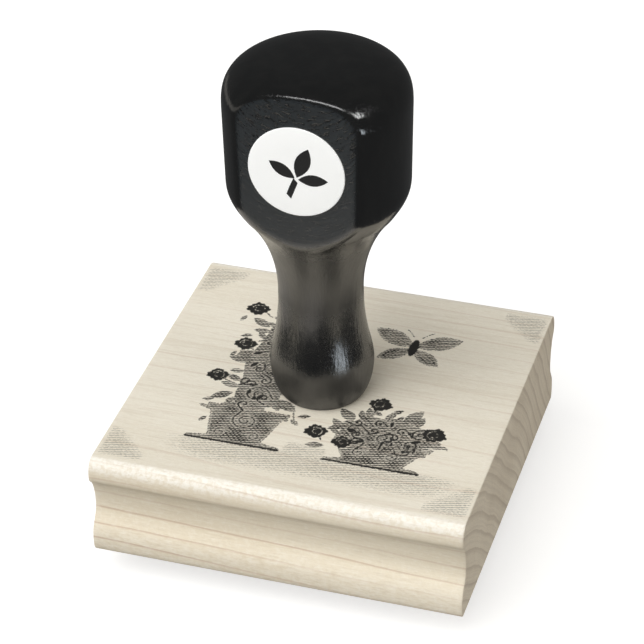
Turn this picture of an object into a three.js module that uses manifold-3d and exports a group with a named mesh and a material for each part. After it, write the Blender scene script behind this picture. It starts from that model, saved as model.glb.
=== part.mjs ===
// Rubber stamp: a moulded maple block with a turned handle above it and a cushioned rubber die below it.
// Millimetres, +Z up. The origin lies on the printing face, under the middle of the block.
// +X runs along the wood grain, to the user's right, and -Y points at the user.

import * as THREE from 'three';
import { mergeVertices } from 'three/addons/utils/BufferGeometryUtils.js';
import Module from 'manifold-3d';

const wasm = await Module();
wasm.setup();

// ---- Driving dimensions ----

// Block: 3 in square overall and 7/8 in thick, with the moulded sides at front and back.
const BLOCK_WIDTH = 76.2;
const BLOCK_DEPTH = 76.2;
const BLOCK_HEIGHT = 22.2;

// Side moulding, as distances out from the end of the flat top and down from it.
const BEAD_OUT = 2.6;
const BEAD_DROP = 3.6;
const QUIRK_OUT = 2.0;
const QUIRK_DROP = 5.2;
const COVE_DROP = 11.8;
const LIP_OUT = 2.6;
const LIP_DROP = 18.9;
const BOTTOM_OUT = 1.6;

// Die, cushion and the two adhesive films under the block.
const DIE_WIDTH = 58;
const DIE_DEPTH = 54;
const DIE_CORNER = 3;
const DIE_THICKNESS = 2.3;
const RELIEF_DEPTH = 1.1;
const FILM_THICKNESS = 0.15;
const FOAM_THICKNESS = 3.2;

// Handle: close to 3 in tall, set by hand a little off the middle of the block. Heights are above the block.
const HANDLE_X = -1.2;
const HANDLE_Y = -0.9;
const HANDLE_HEIGHT = 75.8;
const FOOT_RADIUS = 8.5;
const BULB_RADIUS = 10.5;
const BULB_HEIGHT = 7.5;
const WAIST_RADIUS = 8.5;
const WAIST_HEIGHT = 24.4;
const FLARE_RADIUS = 15.4;
const FLARE_HEIGHT = 43.7;
const SHOULDER_RADIUS = 18.0;
const SHOULDER_HEIGHT = 50.5;
const KNOB_RADIUS = 18.25;
const DOME_BASE = 66.2;
const DOME_POWER = 3;
const FLAT_DISTANCE = 13.6;
const HANDLE_SIDES = 48;

// Round label on the flat of the knob.
const LABEL_RADIUS = 9.5;
const LABEL_THICKNESS = 0.25;
const LABEL_HEIGHT = 58.7;

// Number 8 flat-head wood screw, 1 1/2 in long, with a cross recess.
const SCREW_LENGTH = 38.1;
const HEAD_RADIUS = 4.2;
const HEAD_RIM = 0.4;
const HEAD_HEIGHT = 3.4;
const HEAD_SINK = 1.0;
const SHANK_RADIUS = 2.1;
const SHANK_LENGTH = 14;
const ROOT_RADIUS = 1.45;
const THREAD_PITCH = 3.2;
const POINT_LENGTH = 5;
const RECESS_WIDTH = 0.9;
const RECESS_SPAN = 4.2;
const RECESS_DEPTH = 1.8;
const SCREW_CLEARANCE = 0.3;

// Levels of the stack, from the printing face up.
const DIE_TOP = DIE_THICKNESS;
const FOAM_BOTTOM = DIE_TOP + FILM_THICKNESS;
const FOAM_TOP = FOAM_BOTTOM + FOAM_THICKNESS;
const BLOCK_BOTTOM = FOAM_TOP + FILM_THICKNESS;
const BLOCK_TOP = BLOCK_BOTTOM + BLOCK_HEIGHT;

// ---- Geometry helpers ----

/** A closed three.js geometry as a manifold solid. */
function toSolid(geometry) {
  const bare = geometry.clone();
  bare.deleteAttribute('normal');
  bare.deleteAttribute('uv');
  const merged = mergeVertices(bare, 1e-4);
  return new wasm.Manifold(new wasm.Mesh({
    numProp: 3,
    vertProperties: new Float32Array(merged.attributes.position.array),
    triVerts: new Uint32Array(merged.index.array),
  }));
}

/** A manifold solid as a three.js geometry. */
function toGeometry(solid) {
  const mesh = solid.getMesh();
  const geometry = new THREE.BufferGeometry();
  geometry.setAttribute('position', new THREE.BufferAttribute(mesh.vertProperties, 3));
  geometry.setIndex(new THREE.BufferAttribute(mesh.triVerts, 1));
  geometry.computeVertexNormals();
  return geometry;
}

/** A plan outline extruded upward from the level `bottom`. */
function slab(outline, bottom, thickness, curveSegments = 6) {
  const geometry = new THREE.ExtrudeGeometry(outline, {
    depth: thickness,
    bevelEnabled: false,
    curveSegments,
  });
  geometry.translate(0, 0, bottom);
  return geometry;
}

/** A profile of (radius, height) points turned about the Z axis. */
function turned(profile, sides) {
  const geometry = new THREE.LatheGeometry(profile, sides);
  geometry.rotateX(Math.PI / 2);
  return geometry;
}

/** A rectangle with round corners, centred on the origin. */
function roundedRectangle(width, depth, radius) {
  const x = width / 2;
  const y = depth / 2;
  const outline = new THREE.Shape();
  outline.moveTo(-x + radius, -y);
  outline.lineTo(x - radius, -y);
  outline.absarc(x - radius, -y + radius, radius, -Math.PI / 2, 0);
  outline.lineTo(x, y - radius);
  outline.absarc(x - radius, y - radius, radius, 0, Math.PI / 2);
  outline.lineTo(-x + radius, y);
  outline.absarc(-x + radius, y - radius, radius, Math.PI / 2, Math.PI);
  outline.lineTo(-x, -y + radius);
  outline.absarc(-x + radius, -y + radius, radius, Math.PI, 1.5 * Math.PI);
  return outline;
}

/** A named mesh with its own finish. */
function part(name, geometry, color, roughness, metalness = 0) {
  const mesh = new THREE.Mesh(geometry, new THREE.MeshStandardMaterial({ color, roughness, metalness }));
  mesh.name = name;
  return mesh;
}

// ---- Mount block ----

/** The side moulding from the top edge to the bottom edge, as (out, drop) points. */
function mouldingProfile() {
  const path = new THREE.Path();
  path.moveTo(0, 0);
  path.bezierCurveTo(1.7, 0, BEAD_OUT, 1.3, BEAD_OUT, BEAD_DROP);
  path.quadraticCurveTo(BEAD_OUT, 4.8, QUIRK_OUT, QUIRK_DROP);
  path.bezierCurveTo(1.0, 5.9, 0, 8.4, 0, COVE_DROP);
  path.bezierCurveTo(0, 15.0, LIP_OUT, 15.4, LIP_OUT, LIP_DROP);
  path.bezierCurveTo(LIP_OUT, 20.9, 2.4, 22.0, BOTTOM_OUT, BLOCK_HEIGHT);
  return path.getPoints(6);
}

/** The block's section in (depth, height), moulded on both sides. */
function blockSection() {
  const half = BLOCK_DEPTH / 2 - BEAD_OUT;
  const side = mouldingProfile();
  const back = side.map((p) => new THREE.Vector2(half + p.x, BLOCK_HEIGHT - p.y));
  const front = side.map((p) => new THREE.Vector2(-half - p.x, BLOCK_HEIGHT - p.y));
  return new THREE.Shape([...front, ...back.reverse()]);
}

/** The hole for the screw: a clear bore with a countersink that takes the head below the surface. */
function screwHole() {
  const bore = SHANK_RADIUS + SCREW_CLEARANCE;
  const sink = HEAD_RADIUS + SCREW_CLEARANCE;
  const rim = HEAD_SINK + HEAD_RIM + SCREW_CLEARANCE;
  const profile = [
    new THREE.Vector2(0, -1),
    new THREE.Vector2(sink, -1),
    new THREE.Vector2(sink, rim),
    new THREE.Vector2(bore, HEAD_SINK + HEAD_HEIGHT + SCREW_CLEARANCE),
    new THREE.Vector2(bore, BLOCK_HEIGHT + 1),
    new THREE.Vector2(0, BLOCK_HEIGHT + 1),
  ];
  const cutter = turned(profile, 24);
  cutter.translate(HANDLE_X, HANDLE_Y, 0);
  return toSolid(cutter);
}

function mountBlock() {
  const geometry = new THREE.ExtrudeGeometry(blockSection(), { depth: BLOCK_WIDTH, bevelEnabled: false });
  geometry.translate(0, 0, -BLOCK_WIDTH / 2);
  geometry.rotateX(Math.PI / 2);
  geometry.rotateZ(Math.PI / 2);
  const mesh = part('mount_block', toGeometry(toSolid(geometry).subtract(screwHole())), '#e0d5c0', 0.6);
  mesh.position.z = BLOCK_BOTTOM;
  return mesh;
}

// ---- Handle ----

/** The handle's outline from the axis at the end of the pilot hole, round the foot, to the top of the dome. */
function handleProfile() {
  const bore = SHANK_RADIUS + SCREW_CLEARANCE;
  const boreDepth = SCREW_LENGTH + HEAD_SINK - BLOCK_HEIGHT + 1;
  const side = new THREE.Path();
  side.moveTo(bore, 0);
  side.lineTo(FOOT_RADIUS, 0);
  side.bezierCurveTo(FOOT_RADIUS + 1, 1.2, BULB_RADIUS, 4, BULB_RADIUS, BULB_HEIGHT);
  side.bezierCurveTo(BULB_RADIUS, 11.2, WAIST_RADIUS, 13.9, WAIST_RADIUS, WAIST_HEIGHT);
  side.bezierCurveTo(WAIST_RADIUS, 30.3, 10.2, 37.5, FLARE_RADIUS, FLARE_HEIGHT);
  side.bezierCurveTo(17.6, 47, SHOULDER_RADIUS, 48.2, SHOULDER_RADIUS, SHOULDER_HEIGHT);
  side.lineTo(KNOB_RADIUS, DOME_BASE);
  const points = [new THREE.Vector2(0, boreDepth), new THREE.Vector2(bore, boreDepth), ...side.getPoints(7)];
  const rise = HANDLE_HEIGHT - DOME_BASE;
  const steps = 12;
  for (let i = 1; i < steps; i += 1) {
    const angle = (i / steps) * (Math.PI / 2);
    const radius = KNOB_RADIUS * Math.cos(angle) ** (2 / DOME_POWER);
    points.push(new THREE.Vector2(radius, DOME_BASE + rise * Math.sin(angle) ** (2 / DOME_POWER)));
  }
  points.push(new THREE.Vector2(0, HANDLE_HEIGHT));
  return points;
}

function handle() {
  const cutter = new THREE.BoxGeometry(60, 20, 60);
  cutter.translate(0, -FLAT_DISTANCE - 10, 65);
  const solid = toSolid(turned(handleProfile(), HANDLE_SIDES)).subtract(toSolid(cutter));
  const mesh = part('handle', toGeometry(solid), '#17191a', 0.2);
  mesh.position.set(HANDLE_X, HANDLE_Y, BLOCK_TOP);
  return mesh;
}

function labelDisc() {
  const geometry = new THREE.CylinderGeometry(LABEL_RADIUS, LABEL_RADIUS, LABEL_THICKNESS, 48);
  const mesh = part('label_disc', geometry, '#f4f5f6', 0.45);
  const front = HANDLE_Y - FLAT_DISTANCE;
  mesh.position.set(HANDLE_X, front - LABEL_THICKNESS / 2, BLOCK_TOP + LABEL_HEIGHT);
  return mesh;
}

// ---- Screw ----

/** Radius of the screw at a height above its head's face and an angle about its axis. */
function screwRadius(height, angle) {
  if (height <= HEAD_RIM) {
    return HEAD_RADIUS;
  }
  if (height < HEAD_HEIGHT) {
    return THREE.MathUtils.mapLinear(height, HEAD_RIM, HEAD_HEIGHT, HEAD_RADIUS, SHANK_RADIUS);
  }
  if (height <= SHANK_LENGTH) {
    return SHANK_RADIUS;
  }
  const turn = THREE.MathUtils.euclideanModulo(height / THREAD_PITCH - angle / (2 * Math.PI), 1);
  const crest = Math.max(0, 1 - Math.abs(turn - 0.5) * 3.5);
  const taper = Math.min(1, (SCREW_LENGTH - height) / POINT_LENGTH);
  return (ROOT_RADIUS + (SHANK_RADIUS - ROOT_RADIUS) * crest) * taper;
}

/** The screw without its recess: rings of points round the axis, closed by a centre point at each end. */
function screwBlank() {
  const sides = 16;
  const rows = Math.round(((SCREW_LENGTH - SHANK_LENGTH) / THREAD_PITCH) * 8);
  const heights = [0, HEAD_RIM, HEAD_HEIGHT];
  for (let row = 0; row < rows; row += 1) {
    heights.push(SHANK_LENGTH + ((SCREW_LENGTH - SHANK_LENGTH) * row) / rows);
  }
  const positions = [0, 0, 0];
  for (const height of heights) {
    for (let side = 0; side < sides; side += 1) {
      const angle = (2 * Math.PI * side) / sides;
      const radius = screwRadius(height, angle);
      positions.push(radius * Math.cos(angle), radius * Math.sin(angle), height);
    }
  }
  positions.push(0, 0, SCREW_LENGTH);
  const last = heights.length * sides + 1;
  const ring = (row, side) => 1 + row * sides + (side % sides);
  const index = [];
  for (let side = 0; side < sides; side += 1) {
    index.push(0, ring(0, side + 1), ring(0, side));
    index.push(last, ring(heights.length - 1, side), ring(heights.length - 1, side + 1));
    for (let row = 1; row < heights.length; row += 1) {
      const [a, b] = [ring(row - 1, side), ring(row - 1, side + 1)];
      const [c, d] = [ring(row, side), ring(row, side + 1)];
      index.push(a, b, d, a, d, c);
    }
  }
  const geometry = new THREE.BufferGeometry();
  geometry.setAttribute('position', new THREE.Float32BufferAttribute(positions, 3));
  geometry.setIndex(index);
  return geometry;
}

function handleScrew() {
  let solid = toSolid(screwBlank());
  for (const [x, y] of [[RECESS_SPAN, RECESS_WIDTH], [RECESS_WIDTH, RECESS_SPAN]]) {
    solid = solid.subtract(toSolid(new THREE.BoxGeometry(x, y, 2 * RECESS_DEPTH)));
  }
  const mesh = part('handle_screw', toGeometry(solid), '#b9a878', 0.35, 1);
  mesh.position.set(HANDLE_X, HANDLE_Y, BLOCK_BOTTOM + HEAD_SINK);
  return mesh;
}

// ---- Cushion and adhesive films ----

function layer(name, bottom, thickness, color, roughness) {
  const outline = roundedRectangle(DIE_WIDTH, DIE_DEPTH, DIE_CORNER);
  return part(name, slab(outline, bottom, thickness), color, roughness);
}

// ---- Rubber die ----

/** A tapered pot on a wide foot, centred on x and standing on the level y. */
function potOutline(x, y, footHalf, baseHalf, rimHalf, height) {
  const foot = 1.6;
  const rim = 2;
  const right = [
    [footHalf, 0],
    [footHalf, foot * 0.6],
    [baseHalf, foot],
    [rimHalf - 1, height - rim],
    [rimHalf, height - rim],
    [rimHalf, height],
  ];
  const left = right.map(([dx, dy]) => [-dx, dy]).reverse();
  return new THREE.Shape([...right, ...left].map(([dx, dy]) => new THREE.Vector2(x + dx, y + dy)));
}

/** A round, lobed outline for a bloom or a leafy mass. */
function lobedOutline(x, y, radiusX, radiusY, lobes, depth) {
  const points = [];
  const steps = lobes * 6;
  for (let i = 0; i < steps; i += 1) {
    const angle = (2 * Math.PI * i) / steps;
    const swell = 1 + depth * Math.cos(lobes * angle);
    points.push(new THREE.Vector2(x + radiusX * swell * Math.cos(angle), y + radiusY * swell * Math.sin(angle)));
  }
  return new THREE.Shape(points);
}

/** A pointed leaf that starts at (x, y) and runs `length` in the direction `turn`, in degrees. */
function leafOutline(x, y, length, turn) {
  const angle = THREE.MathUtils.degToRad(turn);
  const along = new THREE.Vector2(Math.cos(angle), Math.sin(angle)).multiplyScalar(length);
  const across = new THREE.Vector2(-along.y, along.x).multiplyScalar(0.45);
  const outline = new THREE.Shape();
  outline.moveTo(x, y);
  outline.quadraticCurveTo(x + along.x / 2 + across.x, y + along.y / 2 + across.y, x + along.x, y + along.y);
  outline.quadraticCurveTo(x + along.x / 2 - across.x, y + along.y / 2 - across.y, x, y);
  return outline;
}

/** The raised picture: two planted pots, their blooms and leaves, and a butterfly. */
function reliefOutlines() {
  const outlines = [
    potOutline(-13, -24.5, 9.5, 5.5, 8.5, 12),
    potOutline(15.5, -24.5, 9.5, 6, 9.5, 8),
    lobedOutline(-13, 4, 5.6, 18.5, 8, 0.07),
    lobedOutline(15.5, -14, 9.5, 6, 9, 0.07),
    lobedOutline(13, 17, 0.9, 3.4, 2, 0.1),
  ];
  const blooms = [[-22.5, 22], [-21, 9], [-23, -3], [-8, 20], [2, -16], [25, -11], [12, -4], [8, -18]];
  for (const [x, y] of blooms) {
    outlines.push(lobedOutline(x, y, 2.3, 2.1, 5, 0.12));
  }
  const leaves = [
    [-18, 16, 5, 150], [-18, 3, 5, 170], [-18, -8, 5, 215], [-17, 20, 4.5, 100], [-9, -8, 6, 330],
    [23, -15, 4.5, 20], [18, -9, 6, 60], [8, -11, 5, 130], [5, -20, 4, 190], [-8, 10, 5, 20],
    [13.4, 17.4, 10, 28], [12.6, 17.4, 10, 152], [13.4, 16.2, 7.5, -36], [12.6, 16.2, 7.5, 216],
  ];
  for (const [x, y, length, turn] of leaves) {
    outlines.push(leafOutline(x, y, length, turn));
  }
  return outlines;
}

function rubberDie() {
  const sheet = roundedRectangle(DIE_WIDTH, DIE_DEPTH, DIE_CORNER);
  let solid = toSolid(slab(sheet, RELIEF_DEPTH, DIE_THICKNESS - RELIEF_DEPTH));
  for (const outline of reliefOutlines()) {
    solid = solid.add(toSolid(slab(outline, 0, RELIEF_DEPTH + 0.2)));
  }
  return part('rubber_die', toGeometry(solid), '#8f2f2a', 0.7);
}

// ---- Assembly ----

const stamp = new THREE.Group();
stamp.add(rubberDie());
stamp.add(layer('die_adhesive', DIE_TOP, FILM_THICKNESS, '#d8d4c4', 0.4));
stamp.add(layer('foam_cushion', FOAM_BOTTOM, FOAM_THICKNESS, '#c9c9c6', 0.9));
stamp.add(layer('mounting_adhesive', FOAM_TOP, FILM_THICKNESS, '#d8d4c4', 0.4));
stamp.add(mountBlock());
stamp.add(handleScrew());
stamp.add(handle());
stamp.add(labelDisc());

export default stamp;
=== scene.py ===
import math

import bmesh
import bpy
import numpy as np
from mathutils import Matrix, Vector


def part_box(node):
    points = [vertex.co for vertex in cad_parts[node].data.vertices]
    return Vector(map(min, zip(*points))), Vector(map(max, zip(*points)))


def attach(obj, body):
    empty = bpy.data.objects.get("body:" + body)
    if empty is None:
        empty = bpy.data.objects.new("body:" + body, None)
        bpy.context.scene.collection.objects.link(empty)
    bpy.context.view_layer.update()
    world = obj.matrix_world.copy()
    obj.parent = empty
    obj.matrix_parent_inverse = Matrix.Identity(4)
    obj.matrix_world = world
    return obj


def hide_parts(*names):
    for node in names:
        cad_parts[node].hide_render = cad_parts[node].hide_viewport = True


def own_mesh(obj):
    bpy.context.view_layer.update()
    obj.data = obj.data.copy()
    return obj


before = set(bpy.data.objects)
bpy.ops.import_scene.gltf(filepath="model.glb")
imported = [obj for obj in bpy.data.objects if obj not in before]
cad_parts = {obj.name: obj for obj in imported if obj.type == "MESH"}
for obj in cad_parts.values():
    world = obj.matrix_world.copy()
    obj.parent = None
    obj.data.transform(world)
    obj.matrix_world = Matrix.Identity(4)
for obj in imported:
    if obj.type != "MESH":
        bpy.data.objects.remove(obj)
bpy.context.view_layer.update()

MM = 0.001
RNG = np.random.default_rng(41)

# ---- Sizes in millimetres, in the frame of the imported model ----

BLOCK_LOW, BLOCK_HIGH = (np.array(c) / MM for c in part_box("mount_block"))
HANDLE_LOW, HANDLE_HIGH = (np.array(c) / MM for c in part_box("handle"))
LABEL_LOW, LABEL_HIGH = (np.array(c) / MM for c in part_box("label_disc"))
FOAM_LOW, FOAM_HIGH = (np.array(c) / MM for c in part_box("foam_cushion"))
DIE_LOW, DIE_HIGH = (np.array(c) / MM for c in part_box("rubber_die"))

KNOB_RADIUS = (HANDLE_HIGH[0] - HANDLE_LOW[0]) / 2
HANDLE_X = (HANDLE_HIGH[0] + HANDLE_LOW[0]) / 2
HANDLE_Y = HANDLE_HIGH[1] - KNOB_RADIUS
FLAT_DISTANCE = HANDLE_Y - HANDLE_LOW[1]
HANDLE_HEIGHT = HANDLE_HIGH[2] - HANDLE_LOW[2]
BLOCK_HEIGHT = BLOCK_HIGH[2] - BLOCK_LOW[2]

# The handle's turned outline: radii, and heights above the block.
FOOT_RADIUS = 8.5
BULB_RADIUS, BULB_HEIGHT = 10.5, 7.5
WAIST_RADIUS, WAIST_HEIGHT = 8.5, 24.4
FLARE_RADIUS, FLARE_HEIGHT = 15.4, 43.7
SHOULDER_RADIUS, SHOULDER_HEIGHT = 18.0, 50.5
DOME_BASE = 66.2
DOME_POWER = 2 / 3
FLAT_START = 30

# The block's side moulding: distances out from the edge of the flat top, and down from it.
BEAD_OUT, BEAD_DROP = 2.6, 3.6
QUIRK_OUT, QUIRK_DROP = 2.0, 5.2
COVE_DROP = 11.8
LIP_OUT, LIP_DROP = 2.6, 18.9
BOTTOM_OUT = 1.6

# The screw's hole: a bore through the block into the handle, and a sink for the head below it. The
# sink narrows to the bore in a cone between two heights above the underside.
BORE_RADIUS = 2.4
BORE_DEPTH = 17.9
SINK_RADIUS = 4.5
CONE_LOW, CONE_HIGH = 1.7, 4.7

# The stretch of the top that the picture's lines lie in, which gets the fine mesh.
PICTURE_X = (-28.0, 30.0)
PICTURE_Y = (-32.0, 29.0)

# The picture's screen: distance between its rows, spacing of the dots in them, how far the dots of
# each row are shifted from those of the row before, as a share of that spacing, and the screen's turn.
SCREEN_PITCH = 0.57
DOT_PITCH = 0.8
ROW_SHIFT = 0.381
SCREEN_TURN = math.radians(16)

# The tree's pith, out of the block towards the user and below it, and the mean width of a growth ring.
PITH_Y, PITH_Z = -81.0, -57.0
RING_WIDTH = 3.4

# The sprig's ink on the label: how deep it starts in the disc, and how far it stands out.
INK_SUNK = 0.02
INK_RAISED = 0.03

# The corners of the cushion and die, and the height of the die's relief.
CORNER_RADIUS = 3.0
RELIEF_DEPTH = 1.1


# ---- Curves and distances ----

def bezier(controls, count):
    """Points along a Bezier curve, without its first point."""
    t = np.linspace(0, 1, count + 1)[1:, None]
    points = [np.array(c, float) for c in controls]
    while len(points) > 1:
        points = [a + (b - a) * t for a, b in zip(points, points[1:])]
    return points[0]


def smoothstep(value, low, high):
    t = np.clip((value - low) / (high - low), 0, 1)
    return t * t * (3 - 2 * t)


def segment_distance(points, path):
    """Distance from each point to an open path."""
    best = np.full(len(points), 1e9)
    for a, b in zip(path, path[1:]):
        along = b - a
        t = np.clip(((points - a) @ along) / max(along @ along, 1e-12), 0, 1)
        best = np.minimum(best, np.linalg.norm(points - a - t[:, None] * along, axis=1))
    return best


def outline_distance(points, outline):
    """Signed distance to a closed outline, negative inside."""
    loop = np.vstack([outline, outline[:1]])
    inside = np.zeros(len(points), bool)
    for (ax, ay), (bx, by) in zip(loop, loop[1:]):
        if ay == by:
            continue
        crosses = (ay > points[:, 1]) != (by > points[:, 1])
        inside ^= crosses & (points[:, 0] < (bx - ax) * (points[:, 1] - ay) / (by - ay) + ax)
    distance = segment_distance(points, loop)
    return np.where(inside, -distance, distance)


# ---- The picture: two planted pots, blooms, leaves, scrolls and a butterfly ----

def pot_outline(x, y, foot_half, base_half, rim_half, height):
    right = [(foot_half, 0), (foot_half, 0.96), (base_half, 1.6),
             (rim_half - 1, height - 2), (rim_half, height - 2), (rim_half, height)]
    left = [(-dx, dy) for dx, dy in reversed(right)]
    return np.array(right + left) + (x, y)


def lobed_outline(x, y, radius_x, radius_y, lobes, depth):
    angle = np.linspace(0, 2 * np.pi, lobes * 6, endpoint=False)
    swell = 1 + depth * np.cos(lobes * angle)
    return np.stack([x + radius_x * swell * np.cos(angle), y + radius_y * swell * np.sin(angle)], 1)


def bloom_outline(x, y, radius, turn):
    """A ragged rose, a little wider than deep."""
    angle = np.linspace(0, 2 * np.pi, 66, endpoint=False)
    swell = 0.97 + 0.09 * np.cos(4 * angle + turn) + 0.075 * np.cos(11 * angle + 2 * turn)
    return np.stack([x + 1.1 * radius * swell * np.cos(angle), y + radius * swell * np.sin(angle)], 1)


def leaf_outline(x, y, length, turn, fat=0.45):
    along = length * np.array([math.cos(math.radians(turn)), math.sin(math.radians(turn))])
    across = fat * np.array([-along[1], along[0]])
    start = np.array([x, y])
    end = start + along
    upper = bezier([start, start + along / 2 + across, end], 8)
    lower = bezier([end, start + along / 2 - across, start], 8)
    return np.vstack([upper, lower])


def spiral(x, y, radius, turns, start, lead):
    """A volute that winds in from `radius`, with a straight tail of length `lead` before it."""
    t = np.linspace(0, 1, int(26 * abs(turns)) + 4)
    angle = start + 2 * np.pi * turns * t
    r = radius * (1 - 0.86 * t)
    path = np.stack([x + r * np.cos(angle), y + r * np.sin(angle)], 1)
    tangent = (path[0] - path[1]) / np.linalg.norm(path[0] - path[1])
    return np.vstack([path[0] + tangent * lead, path])


BLOOMS = [(-22.5, 22, 2.2), (-21, 9, 2.1), (-23, -3, 2.0), (-8, 20, 2.1),
          (2, -16, 2.1), (25, -11, 2.2), (12, -4, 2.1), (8, -18, 1.9)]
LEAVES = [(-18, 16, 5, 150), (-18, 3, 5, 170), (-18, -8, 5, 215), (-17, 20, 4.5, 100), (-9, -8, 6, 330),
          (23, -15, 4.5, 20), (18, -9, 6, 60), (8, -11, 5, 130), (5, -20, 4, 190), (-8, 10, 5, 20)]
WINGS = [(13.4, 17.4, 10, 28), (12.6, 17.4, 10, 152), (13.4, 16.2, 7.5, -36), (12.6, 16.2, 7.5, 216)]
MASSES = [
    pot_outline(-13, -24.5, 9.5, 5.5, 8.5, 12),
    pot_outline(15.5, -24.5, 9.5, 6, 9.5, 8),
    lobed_outline(-13, 4, 5.6, 18.5, 8, 0.07),
    lobed_outline(15.5, -14, 9.5, 6, 9, 0.07),
]
BODY = lobed_outline(13, 17, 0.9, 3.4, 2, 0.1)
SMALL_LEAVES = [(-21, -11, 2.6, 200), (-21, -14, 2.4, 170), (-20.5, -17, 2.4, 240), (-3, -12.5, 2.8, 20),
                (-4, -13.6, 2.6, 320), (-5.2, -11.4, 2.4, 75), (15, -6.4, 2.8, 40), (13.4, -7.6, 2.6, 150),
                (16, -8.4, 2.8, 350), (-20.5, 12.5, 2.8, 205), (-22, 6, 2.2, 250), (21, -18.8, 2.8, 35),
                (-24, 19, 2.4, 250), (27, -14, 2.2, 330), (-6, 16, 2.4, 340)]
SCROLLS = [
    (spiral(-13.2, -7.4, 2.6, 1.6, 0.4, 2.0), 0.42), (spiral(-12.6, -16.6, 2.7, 1.7, 2.6, 2.2), 0.42),
    (spiral(-16.4, -21.4, 1.3, 1.4, 1.0, 1.4), 0.34), (spiral(-9.6, -21.2, 1.3, -1.4, 2.2, 1.4), 0.34),
    (spiral(-13.6, 2.4, 2.0, -1.5, 2.8, 2.4), 0.38), (spiral(-12.4, 10.0, 2.0, 1.5, 0.2, 2.2), 0.36),
    (spiral(-14.0, 16.6, 1.7, -1.4, 1.2, 1.8), 0.34), (spiral(9.4, -13.4, 1.8, 1.5, 0.6, 2.0), 0.38),
    (spiral(15.6, -14.6, 2.3, -1.6, 2.4, 2.4), 0.42), (spiral(21.0, -16.4, 1.6, 1.4, 3.6, 1.6), 0.36),
    (spiral(12.0, -20.4, 1.3, 1.3, 1.6, 1.6), 0.34), (spiral(18.6, -20.2, 1.3, -1.3, 0.8, 1.6), 0.34),
]
STEMS = [
    (bezier([(-17, 6), (-19, 7.5), (-20.5, 8.6)], 6), 0.3),
    (bezier([(-18, 19), (-20, 21), (-21.5, 21.6)], 6), 0.3),
    (bezier([(-18, -5), (-20, -4.8), (-22, -3.6)], 6), 0.3),
    (bezier([(4, -19), (3.4, -17.6), (2.4, -16.8)], 6), 0.3),
    (bezier([(20, -13), (22.4, -12), (24.4, -11.4)], 6), 0.3),
    (bezier([(11, -9), (11.6, -6), (12, -4.6)], 6), 0.3),
    (bezier([(-2.2, -16), (-3.4, -14), (-4.2, -11)], 6), 0.26),
    (bezier([(14.6, -10), (15.2, -8), (15, -6)], 6), 0.26),
]
FEELERS = [
    (bezier([(12.4, 20.2), (11.4, 22.2), (10.2, 23)], 6), 0.24),
    (bezier([(13.6, 20.2), (14.6, 22.2), (15.8, 23)], 6), 0.24),
]
GROUND_LINES = [
    (np.array([(-22.6, -24.3), (-3.4, -24.1)]), 0.62),
    (np.array([(5.8, -24.3), (25.2, -24.1)]), 0.62),
]
POTS = MASSES[:2]
EDGES = [(np.vstack([outline, outline[:1]]), 0.2)
         for outline in POTS + [leaf_outline(*wing) for wing in WINGS]]
VEINS = [(np.array([(x, y), leaf_outline(x, y, 0.7 * length, turn)[7]]), 0.3)
         for x, y, length, turn in WINGS]

# The distance given to places that no ink is near, and the tones of the masses and of single leaves.
FAR = 9.0
MASS_TONE = 0.62
LEAF_TONE = 0.58

# Line width of the small volutes in the leafy masses.
CURL_WIDTH = 0.48


def fringe(x, y, radius_x, radius_y, count, length):
    """Small leaves standing out round a leafy mass, as (x, y, length, turn)."""
    leaves = []
    for i in range(count):
        angle = 360 * (i + RNG.uniform(-0.3, 0.3)) / count
        out_x, out_y = math.cos(math.radians(angle)), math.sin(math.radians(angle))
        leaf_length = length * RNG.uniform(0.7, 1.25)
        turn = angle + RNG.uniform(-55, 55)
        leaves.append((x + radius_x * out_x, y + radius_y * out_y, leaf_length, turn))
    return leaves


def curls(x, y, radius_x, radius_y, count):
    """Small volutes strewn over a leafy mass, as (path, width)."""
    made = []
    for i in range(count):
        share = math.sqrt((i + 0.5) / count)
        angle = 2.4 * i + RNG.uniform(-0.3, 0.3)
        at_x = x + radius_x * share * math.cos(angle)
        at_y = y + radius_y * share * math.sin(angle)
        turns = RNG.uniform(0.9, 1.4) * RNG.choice([-1, 1])
        radius = RNG.uniform(0.9, 1.7)
        start = RNG.uniform(0, 6)
        lead = RNG.uniform(1.0, 2.4)
        made.append((spiral(at_x, at_y, radius, turns, start, lead), CURL_WIDTH))
    return made


FRINGE = fringe(-13, 4, 5.2, 17.6, 30, 3.6) + fringe(15.5, -14, 8.8, 5.4, 22, 3.2)
CURLS = curls(-13, 4, 5.0, 17.0, 17) + curls(15.5, -14, 8.6, 5.2, 11)
TUFTS = fringe(-13, 5, 3.4, 13.0, 11, 2.2) + fringe(15.5, -14, 5.6, 3.2, 8, 2.0)
BLOOM_TURNS = [RNG.uniform(0, 6.28) for _ in BLOOMS]


def near(points, outline, reach=1.5):
    """The points that could be within `reach` of an outline."""
    low, high = outline.min(0) - reach, outline.max(0) + reach
    return np.all((points > low) & (points < high), axis=1)


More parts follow.
